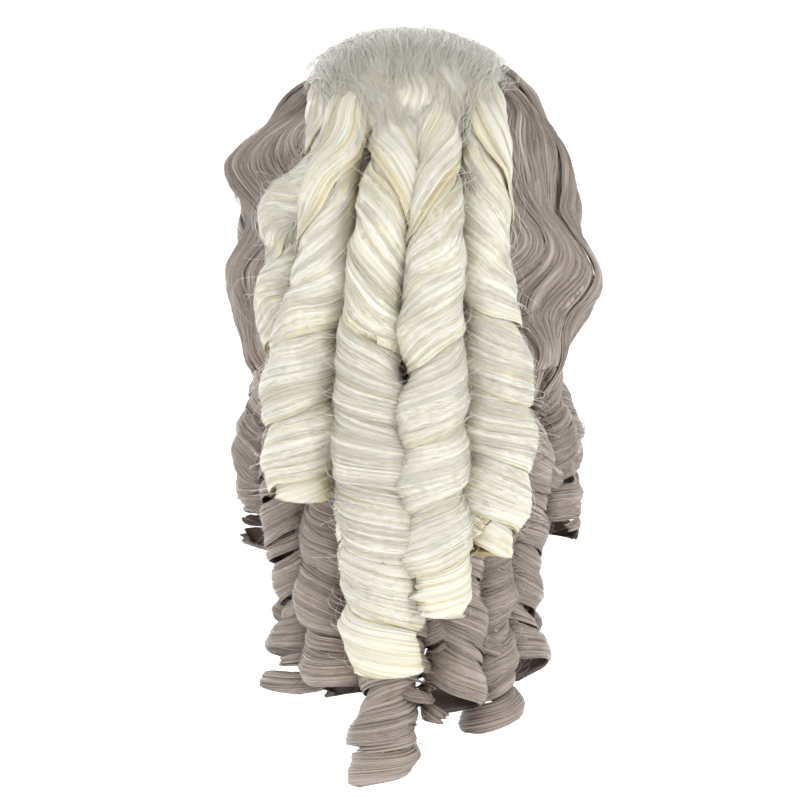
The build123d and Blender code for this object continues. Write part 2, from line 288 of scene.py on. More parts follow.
class Piece:
    """Collects closed strips of mesh with a shade for every fibre, and makes one object of them."""

    def __init__(self, name):
        self.name = name
        self.points, self.shades, self.fibre, self.across = [], [], [], []
        self.quads, self.triangles = [], []
        self.quad_slots, self.triangle_slots = [], []
        self.normals = []
        self.count = 0

    def _store(self, points, shades, fibre, across, normals=0.0):
        """normals of 0 leave the normals to the shape."""
        first = self.count
        self.normals.append(np.broadcast_to(normals, points.shape).reshape(-1, 3))
        self.points.append(points.reshape(-1, 3))
        self.across.append(np.broadcast_to(across, points.shape).reshape(-1, 3))
        self.shades.append(np.broadcast_to(shades, points.shape[:-1]).reshape(-1))
        self.fibre.append(fibre.reshape(-1, 2))
        self.count += self.points[-1].shape[0]
        return first

    def tube(self, rings, shades, fibre, slot=0):
        """A closed strip through rings, shaped (rows, columns, 3), with its two ends closed by fans."""
        rows, columns = rings.shape[:2]
        across = unit(np.roll(rings, -1, axis=1) - np.roll(rings, 1, axis=1))
        first = self._store(rings, shades, fibre, across)
        index = first + np.arange(rows * columns).reshape(rows, columns)
        beside = np.roll(index, -1, axis=1)
        quads = np.stack([index[:-1], beside[:-1], beside[1:], index[1:]], axis=-1).reshape(-1, 4)
        self.quads.append(quads)
        self.quad_slots.append(np.full(len(quads), slot))
        ends = np.stack([rings[0].mean(axis=0), rings[-1].mean(axis=0)])
        mean_shade = np.array([shades[0].mean(), shades[-1].mean()])
        tip = self._store(ends, mean_shade, np.stack([fibre[0, 0], fibre[-1, 0]]), across[[0, -1], 0])
        start = np.stack([beside[0], index[0], np.full(columns, tip)], axis=-1)
        stop = np.stack([index[-1], beside[-1], np.full(columns, tip + 1)], axis=-1)
        self.triangles += [start, stop]
        self.triangle_slots.append(np.full(2 * columns, slot))

    def strands(self, lines, outs, widths, shades, slots):
        """Single hairs, each a three-sided strip: lines is (hairs, points, 3), with an outward direction and
        a width at each point, and a shade and a material slot for each hair."""
        hairs, count = lines.shape[:2]
        ahead = unit(np.gradient(lines, axis=1))
        aside = unit(np.cross(ahead, outs))
        up = np.cross(aside, ahead)
        half = widths[..., None] / 2
        corners = np.stack([lines - aside * half, lines + aside * half, lines + up * half * 1.3], axis=2)
        along = np.broadcast_to(np.arange(count)[None, :, None] * 0.1, corners.shape[:3])
        which = np.broadcast_to(np.arange(hairs)[:, None, None] * 1.7, corners.shape[:3])
        fibre = np.stack([which, along], axis=-1)
        normals = np.stack([outs * 0.85 - aside * 0.5, outs * 0.85 + aside * 0.5, outs], axis=2)
        first = self._store(corners, shades[:, None, None], fibre, aside[:, :, None, :], normals)
        index = first + np.arange(hairs * count * 3).reshape(hairs, count, 3)
        beside = np.roll(index, -1, axis=2)
        quads = np.stack([index[:, :-1], index[:, 1:], beside[:, 1:], beside[:, :-1]], axis=-1)
        self.quads.append(quads.reshape(-1, 4))
        self.quad_slots.append(np.repeat(slots, (count - 1) * 3))
        self.triangles += [index[:, 0], index[:, -1, ::-1]]
        self.triangle_slots.append(np.concatenate([slots, slots]))

    def make(self, finish, body, replaces=(), blend=None):
        """Makes the object and gives it the materials of its finish; the record slot in the finish is not
        used.
        Without blend it is parented to its body; with blend its place is baked into its mesh and it is left
        unparented. The parts it replaces are hidden."""
        points = np.concatenate(self.points).astype(np.float32)
        quads = np.concatenate(self.quads) if self.quads else np.zeros((0, 4), int)
        triangles = np.concatenate(self.triangles)
        mesh = bpy.data.meshes.new(self.name)
        mesh.vertices.add(len(points))
        mesh.vertices.foreach_set("co", points.ravel())
        corners = np.concatenate([quads.ravel(), triangles.ravel()]).astype(np.int32)
        mesh.loops.add(len(corners))
        mesh.loops.foreach_set("vertex_index", corners)
        starts = np.concatenate([np.arange(len(quads)) * 4, len(quads) * 4 + np.arange(len(triangles)) * 3])
        mesh.polygons.add(len(starts))
        mesh.polygons.foreach_set("loop_start", starts.astype(np.int32))
        slots = np.concatenate(self.quad_slots + self.triangle_slots).astype(np.int32)
        mesh.polygons.foreach_set("material_index", slots)
        mesh.polygons.foreach_set("use_smooth", np.ones(len(starts), bool))
        mesh.update(calc_edges=True)
        normals = np.concatenate(self.normals)
        if normals.any():
            mesh.normals_split_custom_set_from_vertices(normals)
        fibre = np.concatenate(self.fibre)
        fibre = np.hstack([fibre, np.zeros((len(fibre), 1))])
        for name, kind, field, values in (
            ("shade", "FLOAT", "value", np.concatenate(self.shades)),
            ("fibre", "FLOAT_VECTOR", "vector", fibre),
            ("across", "FLOAT_VECTOR", "vector", np.concatenate(self.across)),
        ):
            attribute = mesh.attributes.new(name, kind, "POINT")
            attribute.data.foreach_set(field, values.astype(np.float32).ravel())
        piece = placed(self.name, mesh)
        slot, materials = finish
        for material in materials:
            mesh.materials.append(material)
        if blend:
            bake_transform(piece)
        else:
            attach(piece, body)
        if replaces:
            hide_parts(*replaces)


# How hair is drawn: the spacing of the hairs across a band, the length of a streak of colour along them, how
# many times a clump's height changes down a band, and how many tufts a ragged end has.
HAIR_PITCH = 0.4 * MM
STREAK_LENGTH = 14 * MM
CLUMP_KEYS = 9
END_TUFTS = 19


def arch_at(look, share):
    """How far a band arches at each share of its length."""
    return look["arch"] + look["swell"] * smoothstep(share, 0.2, 0.6)


def band(piece, rng, surface, t, middle, half, lift, look, v_middle=None):
    """One flat lock: t is its rows, middle and half its place and half width in v at each row, and lift its
    height over the surface. look is its build, from look_of."""
    columns, under = look["columns"], look["under"]
    extra = {} if v_middle is None else {"middle": v_middle}
    u = np.linspace(-1, 1, columns)
    clumps = fibres(rng, len(t), columns, CLUMP_KEYS, look["clump"])
    fine = fibres(rng, len(t), columns, CLUMP_KEYS * 2, 1)
    share = np.linspace(0, 1, len(t))
    arch = arch_at(look, share)[:, None]
    edge = smoothstep(1 - np.abs(u), 0, 0.12)[None, :]
    height = lift[:, None] + arch * (1 - u[None, :] ** 2)
    height = height + edge * (look["clump_height"] * clumps + look["ridge"] * fine)
    height = height + look["slope"] * u[None, :]
    v = middle[:, None] + half[:, None] * u[None, :]
    tufts = rng.normal(0, 0.5, END_TUFTS)
    ragged = np.interp(u, np.linspace(-1, 1, END_TUFTS), tufts) * look["ragged"]
    end_shift = smoothstep(share, 0.9, 1)[:, None]
    rows = t[:, None] + ragged[None, :] * end_shift
    u_under = np.linspace(1, -1, under + 2)[1:-1]
    belly = arch * (1 - u_under[None, :] ** 2) - look["thick"] * np.sqrt(1 - u_under[None, :] ** 2)
    height_under = lift[:, None] + belly + look["slope"] * u_under[None, :]
    v_under = middle[:, None] + half[:, None] * u_under[None, :]
    rows_under = t[:, None] + np.interp(u_under, u, ragged)[None, :] * end_shift
    top = surface.lay(rows, v, height, **extra)
    bottom = surface.lay(rows_under, v_under, height_under, **extra)
    shade = 0.58 + look["mottle"] * (clumps + 1.3 * fine)
    # Painted shade: the shade darkens towards each edge of the band, where it meets or laps the next one.
    shade = shade - look["edge"] * (1 - smoothstep(1 - np.abs(u), 0, 0.3))[None, :]
    # Painted shade: darker where the hair turns towards the head, or down into a side wave's trough.
    if look["turned"]:
        shade = shade - look["turned"] * smoothstep(1 - surface.facing(rows, v, **extra), 0.35, 1.7)
    # Painted shade: every band's underside takes a low shade, the darkest colour of its ramp.
    dark = np.full(v_under.shape, 0.1)
    width = np.abs(half)[:, None] * look["scale"] / HAIR_PITCH
    lie = np.stack([width * u[None, :] + rng.uniform(0, 50), rows / STREAK_LENGTH], axis=-1)
    lie_under = np.stack([width * u_under[None, :], rows_under / STREAK_LENGTH], axis=-1)
    piece.tube(
        np.concatenate([top, bottom], axis=1),
        np.concatenate([shade, dark], axis=1),
        np.concatenate([lie, lie_under], axis=1),
    )


def loose(piece, rng, surface, t, middle, half, lift, look, count, width, wander, raised, v_middle=None,
          stray=0.0, span=None):
    """Single hairs that lie on a band, or stand a little off it. Each covers its own stretch of the rows, of
    up to span of them if that is given."""
    place = rng.uniform(-1, 1, count)
    raise_by = rng.uniform(raised[0], raised[1], count)
    points = len(t)
    begin = rng.uniform(0, 0.35, count) ** 1.5
    stop = 1 - rng.uniform(0, 0.3, count) ** 1.5
    if span:
        begin = rng.uniform(0, 1 - span, count)
        stop = begin + rng.uniform(0.4, 1.0, count) * span
    even = np.linspace(0, 1, points)
    share = begin[:, None] + (stop - begin)[:, None] * even[None, :]
    rows, mid, wide, high = [np.interp(share, even, line) for line in (t, middle, half, lift)]
    phase = rng.uniform(0, 2 * pi, (count, 1))
    length = rng.uniform(0.2, 0.6, (count, 1))
    weave = np.sin(2 * pi * share / length + phase) * wander * rng.uniform(0.2, 1.0, (count, 1))
    u = np.clip(place[:, None] * 0.97 + weave, -1.1, 1.1)
    v = mid + wide * u
    high = high + arch_at(look, share) * (1 - np.minimum(u**2, 1)) + look["slope"] * u
    bow = np.sin(pi * even)[None, :] ** 0.7
    height = high + raise_by[:, None] * bow
    height = height + stray * np.minimum(rng.exponential(1.0, (count, 1)), 2.4) * bow**2
    extra = {} if v_middle is None else {"middle": v_middle}
    lines = surface.lay(rows, v, height, **extra)
    outer = surface.lay(rows, v, height + 1 * MM, **extra)
    taper = smoothstep(even, 0, 0.1) * smoothstep(1 - even, 0, 0.12)
    widths = width * rng.uniform(0.7, 1.2, (count, 1)) * (0.25 + 0.75 * taper[None, :])
    shades = np.clip(rng.normal(0.55, 0.22, count), 0, 1)
    piece.strands(lines, unit(outer - lines), widths, shades, strand_slots(rng, count))


# ---------------------------------------------------------------- materials


def principled(name, **values):
    """A material, its node tree and its shader, with the shader's own values set by name."""
    material = bpy.data.materials.new(name)
    material.use_nodes = True
    shader = material.node_tree.nodes["Principled BSDF"]
    for key, value in values.items():
        shader.inputs[key].default_value = value
    return material, material.node_tree, shader


def add_node(tree, kind, source=None, **values):
    """A shader node with its values set by name, which reads the source if there is one."""
    node = tree.nodes.new("ShaderNode" + kind)
    for key, value in values.items():
        node.inputs[key].default_value = value
    if source:
        tree.links.new(source, node.inputs["Vector"])
    return node


def add_sum(tree, operation, first, second):
    """A sum of a source and a number or another source."""
    node = add_node(tree, "Math")
    node.operation = operation
    tree.links.new(first, node.inputs[0])
    if isinstance(second, float):
        node.inputs[1].default_value = second
    else:
        tree.links.new(second, node.inputs[1])
    return node


def attribute(tree, name):
    """A node that reads a mesh attribute."""
    node = add_node(tree, "Attribute")
    node.attribute_name = name
    return node


def colour_from(tree, shader, source, *stops):
    """Colours the shader by a ramp through stops, each a place from 0 to 1 and a colour."""
    ramp = add_node(tree, "ValToRGB")
    elements = ramp.color_ramp.elements
    for element, (position, colour) in zip((elements[0], elements[1]), (stops[0], stops[-1])):
        element.position = position
        element.color = (*colour, 1)
    for position, colour in stops[1:-1]:
        elements.new(position).color = (*colour, 1)
    tree.links.new(source, ramp.inputs["Fac"])
    tree.links.new(ramp.outputs["Color"], shader.inputs["Base Color"])


def roughness_from(tree, shader, source, low, high):
    """Makes the shader's roughness follow a source, from low to high."""
    spread = add_node(tree, "MapRange", **{"To Min": low, "To Max": high})
    tree.links.new(source, spread.inputs["Value"])
    tree.links.new(spread.outputs["Result"], shader.inputs["Roughness"])


def bump_from(tree, shader, source, strength, distance):
    """Raises the shader's surface by a source."""
    bump = add_node(tree, "Bump", Strength=strength, Distance=distance)
    tree.links.new(source, bump.inputs["Height"])
    tree.links.new(bump.outputs["Normal"], shader.inputs["Normal"])
    return bump


def hair_gloss(name, **values):
    """A hair material whose highlight is drawn out across the fibres."""
    material, tree, shader = principled(name, **{"Specular IOR Level": 0.75, "Anisotropic": 0.75, **values})
    tree.links.new(attribute(tree, "across").outputs["Vector"], shader.inputs["Tangent"])
    return material, tree, shader


# How much of a hair's colour comes from the fine streaks along it.
STREAKS = 0.55


def hair_body(name, deep, low, middle, high):
    """Hair with a colour that follows each fibre's shade, which holds its own random tone and painted shade,
    with fine streaks along the fibres and a satin gloss.
    """
    material, tree, shader = hair_gloss(name)
    shade = attribute(tree, "shade").outputs["Fac"]
    lie = attribute(tree, "fibre").outputs["Vector"]
    streaks = add_node(tree, "TexNoise", lie, Scale=1.0, Detail=3.0).outputs["Fac"]
    centred = add_sum(tree, "SUBTRACT", shade, STREAKS / 2)
    amount = add_sum(tree, "MULTIPLY_ADD", streaks, STREAKS)
    tree.links.new(centred.outputs["Value"], amount.inputs[2])
    # The deep and low stops are painted shade colours, reached mostly where shade is painted; middle and high
    # are the hair's own tones.
    colour_from(tree, shader, amount.outputs["Value"], (0.0, deep), (0.28, low), (0.6, middle), (1.0, high))
    roughness_from(tree, shader, streaks, 0.3, 0.48)
    bump_from(tree, shader, streaks, 0.25, 0.1 * MM)
    return material


def hair_strand(name, colour, roughness):
    """The same gloss in one colour, for single hairs."""
    return hair_gloss(name, **{"Base Color": (*colour, 1), "Roughness": roughness})[0]


def strand_slots(rng, count):
    """Most hairs take the middle tint, and some the light or the deep one."""
    return 1 + rng.choice(3, count, p=[0.3, 0.5, 0.2])


def hair_finish(colour, deep, low, middle, high, strands):
    """A record slot, and the materials of its bands and of its light, middle and deep single hairs."""
    tints = [
        hair_strand(f"{colour}_strand_{tint}", *strand)
        for tint, strand in zip(("light", "middle", "deep"), strands)
    ]
    return f"hair_{colour}", [hair_body(f"{colour}_hair", deep, low, middle, high), *tints]


# The bands' colours run deep, low, middle, high: deep and low are painted shade colours of the hair in
# shadow, yellowed for the ivory; middle and high are its own tones. The three strand tints are the hair's own
# tones, given to hairs at random.
IVORY = hair_finish(
    "ivory", (0.50, 0.38, 0.15), (0.68, 0.59, 0.35), (0.76, 0.73, 0.62), (0.86, 0.845, 0.79),
    [((0.86, 0.845, 0.79), 0.33), ((0.75, 0.725, 0.63), 0.38), ((0.66, 0.60, 0.44), 0.42)],
)
TAUPE = hair_finish(
    "taupe", (0.06, 0.042, 0.033), (0.18, 0.135, 0.11), (0.34, 0.275, 0.232), (0.50, 0.42, 0.37),
    [((0.50, 0.42, 0.37), 0.30), ((0.33, 0.265, 0.225), 0.34), ((0.19, 0.145, 0.12), 0.38)],
)


# ---------------------------------------------------------------- ringlets


def foot_of(node):
    """Where a ringlet's lower end is, and its radius, from its CAD solid."""
    points = np.array([v.co for v in frame["nodes"][node].data.vertices], float)
    low = points[points[:, 2] < points[:, 2].min() + 12 * MM]
    centre = (low.max(axis=0) + low.min(axis=0)) / 2
    radius = (low[:, 0].max() - low[:, 0].min()) / 2
    return centre[0], centre[1], low[:, 2].min(), radius


# Where each moving body's joint is.
PIVOTS = {joint["child"]: np.array(joint["pos_m"], float) for joint in frame["joints"]}

# The length of a band's row along its fibres, and how far the stray hairs of a ringlet stand off it.
ROW_STEP = 4.4 * MM
FRIZZ_OUT = 3.6 * MM


def ringlet(name, body, finish, route, across, deep, turns, bands, hand=1, blend=None, replaced=(),
            start=0.0, stray=0.6 * MM, strands=60, lumps=0.07, fill_end=1.0, tip=(1.0, 0.04), frizz=0):
    """A ringlet from its route: one or more bands of hair wound round it, with single hairs over them. lumps
    is how unevenly it is wound, and fill_end how much of its width each band keeps lower down. tip is how
    much it keeps at the very end, and over what share of its length it narrows to that. frizz is how many
    hairs stand well off it."""
    rng = rng_for(name)
    coil = Coil(route, across, deep, turns, hand, start)
    for size in (coil.across, coil.deep):
        size *= 1 + drift(rng, coil.along, 36 * MM, lumps)
    shape, hairs = Piece(name), Piece(name + "_strands")
    tip_width, tip_share = tip
    outer_look = bands[0][-1]
    for middle, half, first, last, look in bands:
        t = coil.rows(first * coil.length, last * coil.length, ROW_STEP)
        share = np.linspace(0, 1, len(t))
        taper = 0.3 + 0.7 * smoothstep(share, 0, 0.12)
        taper = taper * (tip_width + (1 - tip_width) * smoothstep(1 - share, 0, tip_share))
        taper = taper * (1 - (1 - fill_end) * share**2)
        width = half * taper * (1 + drift(rng, share, 0.19, 0.12))
        turn = middle + drift(rng, share, 0.27, 0.24)
        lift = drift(rng, share, 0.13, 0.8 * MM) + look["lift"]
        band(shape, rng, coil, t, turn, width, lift, look, v_middle=middle)
        count = strands if look is outer_look else strands // 3
        loose(hairs, rng, coil, *thinned(2, t, turn, width, lift), look, count, 0.2 * MM, 0.05,
              (0.15 * MM, 0.5 * MM), v_middle=middle)
        loose(hairs, rng, coil, *thinned(3, t, turn, width, lift), look, count // 4, 0.14 * MM, 0.3,
              (0.3 * MM, 1.4 * MM), v_middle=middle, stray=stray)
    t = coil.rows(0.1 * coil.length, coil.length, ROW_STEP)
    none = np.zeros(len(t))
    loose(hairs, rng, coil, t, none, none + pi, none, outer_look, frizz, 0.17 * MM, 0.9, (1 * MM, 4 * MM),
          v_middle=0.0, stray=FRIZZ_OUT, span=0.16)
    shape.make(finish, body, replaced, blend)
    hairs.make(finish, body, (), blend)


def look_of(scale, columns, **changes):
    """A band's build. scale turns its half width in v into metres. columns and under are how many columns of
    mesh its top and underside have. clump and clump_height give the bunches of hair in it, in columns and
    metres, and ridge the height of single hairs; mottle how far its shade wanders at random; edge and turned
    are painted shade, how far it darkens at its edges and where it turns towards the head or into a wave's
    trough; slope how far one edge stands over the other; ragged how uneven its lower end is, in t; and swell
    how much more it arches in its lower half."""
    usual = {
        "lift": 0.0, "arch": 1.6 * MM, "thick": 1.8 * MM, "clump_height": 0.2 * MM, "ridge": 0.09 * MM,
        "under": 6, "clump": 4, "mottle": 0.09, "edge": 0.22, "slope": 0.0, "turned": 0.0, "ragged": 0.0,
        "swell": 0.0,
    }
    return {"scale": scale, "columns": columns, **usual, **changes}


def hanging(rng, x, y, top, low, sway):
    """Points straight down from top to low, with a little sway."""
    steps = max(3, int((top - low) / (38 * MM)))
    return [np.array([x, y, z]) + [rng.normal(0, sway), rng.normal(0, sway), 0]
            for z in np.linspace(top, low, steps + 1)]


# Each ivory ringlet: the hand it winds and its first turn; where it leaves the crown, as X and roll; its way
# down as (Z, X, half width) in mm, and the length of one turn in mm as (Z, length).
CREAM = {
    "cream_ringlet_1": (
        -1, 0.8, 44, 2.0,
        [(66, 56, 11), (44, 60, 9), (24, 63, 11), (4, 63, 8), (-18, 65, 10), (-36, 65, 9), (-51, 64, 8)],
        [(70, 120), (20, 60), (-20, 40)],
    ),
    "cream_ringlet_2": (
        -1, 2.2, 33, 1.95,
        [(62, 36, 13), (38, 40, 14), (10, 43, 13), (-16, 46, 14), (-38, 52, 15), (-60, 55, 16.5),
         (-90, 55, 17), (-121, 55, 16)],
        [(80, 200), (30, 105), (-10, 70), (-45, 44), (-80, 34)],
    ),
    "cream_ringlet_3": (
        1, 0.4, -2, 1.9,
        [(66, 3, 14), (39, 8, 16), (14, 13, 14.5), (-10, 17, 13), (-34, 19, 15), (-57, 19, 15.5),
         (-94, 18, 17.5), (-135, 16, 17), (-180, 14, 17), (-207, 14, 15)],
        [(80, 190), (40, 105), (0, 78), (-40, 50), (-70, 36), (-200, 30)],
    ),
    "cream_ringlet_4": (
        -1, 2.6, -13, 2.0,
        [(68, -14, 10), (44, -14, 11), (18, -12, 13), (-8, -11, 14), (-36, -12, 14), (-54, -12, 12.5),
         (-80, -12, 14.5), (-120, -12, 15), (-150, -13, 15), (-176, -13, 14)],
        [(80, 200), (40, 120), (0, 74), (-40, 60), (-64, 37), (-170, 31)],
    ),
    "cream_ringlet_5": (
        1, 1.4, -38, 1.95,
        [(62, -40, 14), (32, -39, 13), (4, -38, 12.5), (-20, -39, 12), (-40, -42, 15), (-74, -43, 16),
         (-100, -44, 16.5), (-128, -40, 15), (-150, -39, 14)],
        [(80, 180), (30, 100), (-10, 62), (-40, 40), (-80, 32)],
    ),
}
# How far off the head an ivory ringlet runs under the crown's hair.
UNDER_CROWN = 17 * MM


def make_cream_ringlets():
    """Ivory ringlets that come out of the crown's hair and flow over their roots into the hanging coils."""
    for name, (hand, start, crown_x, roll, way, turns) in CREAM.items():
        rng = rng_for(name + "_route")
        root = PIVOTS[name]
        _, y, _, _ = foot_of(name)
        over = []
        for here in (roll, roll + 0.25, roll + 0.5):
            lean = np.arcsin(crown_x * MM / ((HEAD_X + UNDER_CROWN) * sin(here)))
            over.append(dome_point(lean, here, UNDER_CROWN))
        bend_z = way[1][0] * MM
        down = []
        for z, x, _ in way:
            share = float(smoothstep((over[-1][2] - z * MM) / (over[-1][2] - bend_z + 22 * MM)))
            place_y = over[-1][1] + (y - over[-1][1]) * share
            down.append(np.array([x * MM, place_y, z * MM]) + [rng.normal(0, 0.8 * MM), rng.normal(0, MM), 0])
        route = [*over, *[p for p in down if p[2] < over[-1][2] - 8 * MM]]
        line, along = spline(route)
        half_widths = np.array([(z * MM, w * MM) for z, _, w in way[::-1]])
        share = along / along[-1]
        wide = np.interp(line[:, 2], *half_widths.T)
        grow = smoothstep(line[:, 2], over[0][2] + 4 * MM, bend_z - 14 * MM)
        wide = wide * (0.75 + 0.25 * grow)
        thick = wide * (0.36 + 0.62 * grow)
        turn = np.interp(line[:, 2], *np.array([(z * MM, length * MM) for z, length in turns[::-1]]).T)
        across, deep, turn_length = [list(zip(share, line)) for line in (wide, thick, turn)]
        ringlet(name, name, IVORY, route, across, deep, turn_length, ivory_bands(wide.max(), hand), hand,
                (tuple(root), tuple(root + [0, 0, -45 * MM])), [name], start, stray=0.7 * MM, strands=130,
                lumps=0.1, frizz=100)


def ivory_bands(size, hand):
    """The hair of an ivory ringlet: a broad band whose lower edge laps over its next turn, and a filling."""
    broad = look_of(size, 200, arch=1.4 * MM, thick=2.4 * MM, slope=-hand * 1.3 * MM, turned=0.42, mottle=0.1,
                    clump=7, ridge=0.12 * MM, ragged=1.5 * MM, swell=3.4 * MM)
    filling = look_of(size, 70, lift=-1.8 * MM, arch=0.4 * MM, thick=1.4 * MM, turned=0.4)
    return [(0.0, 1.04 * pi, 0.0, 0.985, broad), (pi, 0.98 * pi, 0.02, 1.0, filling)]


def make_split_curl():
    """The thin curl behind the longest ivory ringlet, which swings with it."""
    name, body = "cream_split_curl", "cream_ringlet_3"
    rng = rng_for(name + "_route")
    low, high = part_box(name)
    x, y, radius = (low.x + high.x) / 2, (low.y + high.y) / 2, (high.x - low.x) / 2
    host_x, host_y, _, _ = foot_of(body)
    route = [np.array([host_x + 0.3 * (x - host_x), host_y + 0.3 * (y - host_y), high.z + 14 * MM]),
             *hanging(rng, x, y, high.z - 12 * MM, low.z, 0.8 * MM)]
    build = [(0, 0.5), (0.2, 0.9), (0.6, 1.1), (1, 0.9)]
    front, rear = [look_of(radius, 44, arch=1.0 * MM, thick=1.2 * MM, turned=0.3) for _ in range(2)]
    bands = [(0.0, 1.7, 0, 1, front), (pi, 1.6, 0, 0.95, rear)]
    size = [(s, radius * a) for s, a in build]
    turns = [(0, 60 * MM), (0.3, 24 * MM), (1, 20 * MM)]
    ringlet(name, body, IVORY, route, size, size, turns, bands, -1, None, [name], 0.5, strands=45, frizz=12)


# Each taupe ringlet: hand, first turn, length of one turn in mm, how much of the turn its hair fills, how far
# its lower end opens out, and how high on the head its hair starts.
TAUPE_CURLS = {
    "nape_ringlet_1": (1, 0.5, 30, 0.92, 1.15, -28),
    "nape_ringlet_2": (-1, 2.0, 27, 0.96, 1.1, -30),
    "nape_ringlet_3": (1, 1.0, 32, 0.94, 1.0, -26),
    "nape_ringlet_4": (-1, 3.0, 28, 0.9, 1.15, -28),
    "left_ringlet_1": (-1, 0.2, 30, 0.8, 1.3, -34),
    "left_ringlet_2": (1, 1.2, 28, 0.85, 1.2, -38),
    "left_ringlet_3": (-1, 2.4, 27, 0.9, 1.1, -38),
    "right_ringlet_1": (1, 0.9, 31, 0.92, 1.05, -34),
    "right_ringlet_2": (-1, 1.7, 26, 0.8, 1.25, -38),
    "right_ringlet_3": (1, 2.9, 27, 0.9, 1.1, -38),
}


def taupe_curl(name, body, replaced, root, top, foot, radius, hand, start, turn, fill, opening, tip, blend):
    """One taupe curl from under the waves to its foot, which opens out into a loop and tucks in by tip."""
    rng = rng_for(name + "_route")
    above = on_skirt(root, root[2] + top * MM + 66 * MM, 7 * MM)
    x, y, low = foot
    route = [above, (above + root) / 2 + off_head(root) * MM, root + [0, 0, 2 * MM],
             *hanging(rng, x, y, root[2] - 24 * MM, low + 1 * MM, 3.4 * MM)]
    build = [(0, 0.8, 0.3), (0.15, 0.9, 0.5), (0.3, 0.8, 0.8), (0.42, 0.95, 0.95), (0.6, 1.0, 1.0),
             (0.8, 0.92, 0.92), (0.94, opening, opening), (1, opening * tip, opening * tip)]
    uneven = [radius * (1 + rng.normal(0, 0.06)) for _ in build]
    across = [(s, a * size) for (s, a, _), size in zip(build, uneven)]
    deep = [(s, d * size) for (s, _, d), size in zip(build, uneven)]
    turns = [(0, 130), (0.2, 70), (0.33, 38), (0.45, turn * 1.15), (0.6, turn), (0.75, turn * 1.2),
             (0.9, turn * 0.9), (1, turn * 0.85)]
    broad = look_of(radius, 130, arch=1.5 * MM, thick=1.6 * MM, mottle=0.12, slope=-hand * 1.1 * MM,
                    turned=0.5, ragged=MM, swell=1.2 * MM)
    second = look_of(radius, 50, lift=-1.2 * MM, arch=0.9 * MM, thick=1.2 * MM, mottle=0.12,
                     slope=-hand * MM, turned=0.5, ragged=MM)
    bands = [(0.0, pi * fill * 0.9, 0, 1, broad), (pi, pi * fill * 0.4, 0.01, 0.92, second)]
    tip_hair = (0.8, 0.04) if replaced else (0.25, 0.16)
    ringlet(name, body, TAUPE, route, across, deep, [(s, length * MM) for s, length in turns], bands, hand,
            blend, replaced, start, stray=1.0 * MM, lumps=0.13, fill_end=0.8, tip=tip_hair, frizz=30)


def make_taupe_ringlets():
    """Taupe ringlets that hang round the bottom, each with a thinner curl that has come loose from it."""
    for name, (hand, start, turn, fill, opening, top) in TAUPE_CURLS.items():
        rng = rng_for(name + "_pair")
        x, y, low, radius = foot_of(name)
        swings = name in PIVOTS
        root = PIVOTS[name] if swings else np.array([x, y, -80 * MM])
        body = name if swings else "root"
        blend = (tuple(root), tuple(root + [0, 0, -22 * MM])) if swings else None
        radius *= 0.92
        taupe_curl(name, body, [name], root, top, (x, y, low), radius, hand, start, turn, fill, opening, 0.82,
                   blend)
        out = off_head(np.array([x, y, DOME_Z]))
        beside = np.array([-out[1], out[0], 0]) * rng.choice([-1, 1])
        shift = beside * rng.uniform(7, 10) * MM - out * rng.uniform(2, 6) * MM
        foot = (x + shift[0], y + shift[1], low + rng.uniform(12, 34) * MM)
        small = radius * rng.uniform(0.5, 0.62)
        taupe_curl(name + "_loose", body, [], root + shift * 0.5, top, foot, small, -hand, start + 1.7,
                   turn * rng.uniform(0.62, 0.75), 0.7, 1.15, 0.6, blend)


# ---------------------------------------------------------------- hair on the crown


def hairline_roll(lean):
    """Where the hairline is, as a roll, at a lean from straight up."""
    return 0.455 + 0.36 * (1 - np.cos(lean))


# How far the crown's hair stands off the head, in mm, against the lean in degrees.
CROWN_PUFF = [(0, 25), (14, 25.5), (22, 24.5), (28, 22), (33, 16), (38, 11), (46, 8)]


def crown_out(roll, lean):
    """How far the crown's hair stands off the head: puffed up in the middle, and rising from the hairline."""
    leans, outs = np.array(CROWN_PUFF).T
    full = np.interp(np.abs(lean), np.radians(leans), outs * MM)
    rise = smoothstep(roll, hairline_roll(lean), hairline_roll(lean) + 0.55) ** 0.6
    fall = 1 - 0.3 * smoothstep(roll, 2.0, 2.55)
    return 3 * MM + (full - 3 * MM) * rise * fall


def lay_locks(name, surface, lanes, first, last, look, lift, rows, finish, replaced, strands,
              stray=0.8 * MM, spread=0.8 * MM, taper=0.5, sink=0.0, flyaways=12):
    """Locks that lie side by side on a surface. lanes gives the middle and half width of each, first and last
    where they start and stop, as a number or a function of the middle. spread is how unevenly high they lie,
    taper how much of its width a lock starts with, and sink how far their ends go in. A taper of 1 is one
    sheet, which keeps its width."""
    rng = rng_for(name)
    shape, hairs = Piece(name), Piece(name + "_strands")
    for middle, half in lanes:
        start = first(middle) if callable(first) else first
        stop = last - rng.uniform(0, 0.05) * (1 - taper)
        t = np.linspace(start, stop, rows)
        share = np.linspace(0, 1, rows)
        narrow = taper + (1 - taper) * smoothstep(share, 0, 0.15)
        narrow = narrow * (0.35 + 0.65 * smoothstep(1 - share, 0, 0.18))
        if taper == 1.0:
            narrow = np.ones(rows)
        mid = middle + drift(rng, share, 0.9, half * 0.4)
        wide = half * narrow * (1 + drift(rng, share, 0.5, 0.12))
        high = lift + drift(rng, share, 0.6, spread) + rng.normal(0, spread)
        high = high - sink * smoothstep(share, 0.8, 1)
        band(shape, rng, surface, t, mid, wide, high, look)
        loose(hairs, rng, surface, *thinned(2, t, mid, wide, high), look, strands, 0.2 * MM, 0.06,
              (0.1 * MM, 0.7 * MM))
        loose(hairs, rng, surface, *thinned(3, t, mid, wide * 1.15, high), look, flyaways, 0.13 * MM, 0.3,
              (0.6 * MM, 2.4 * MM), stray=stray)
    shape.make(finish, "root", replaced)
    hairs.make(finish, "root")


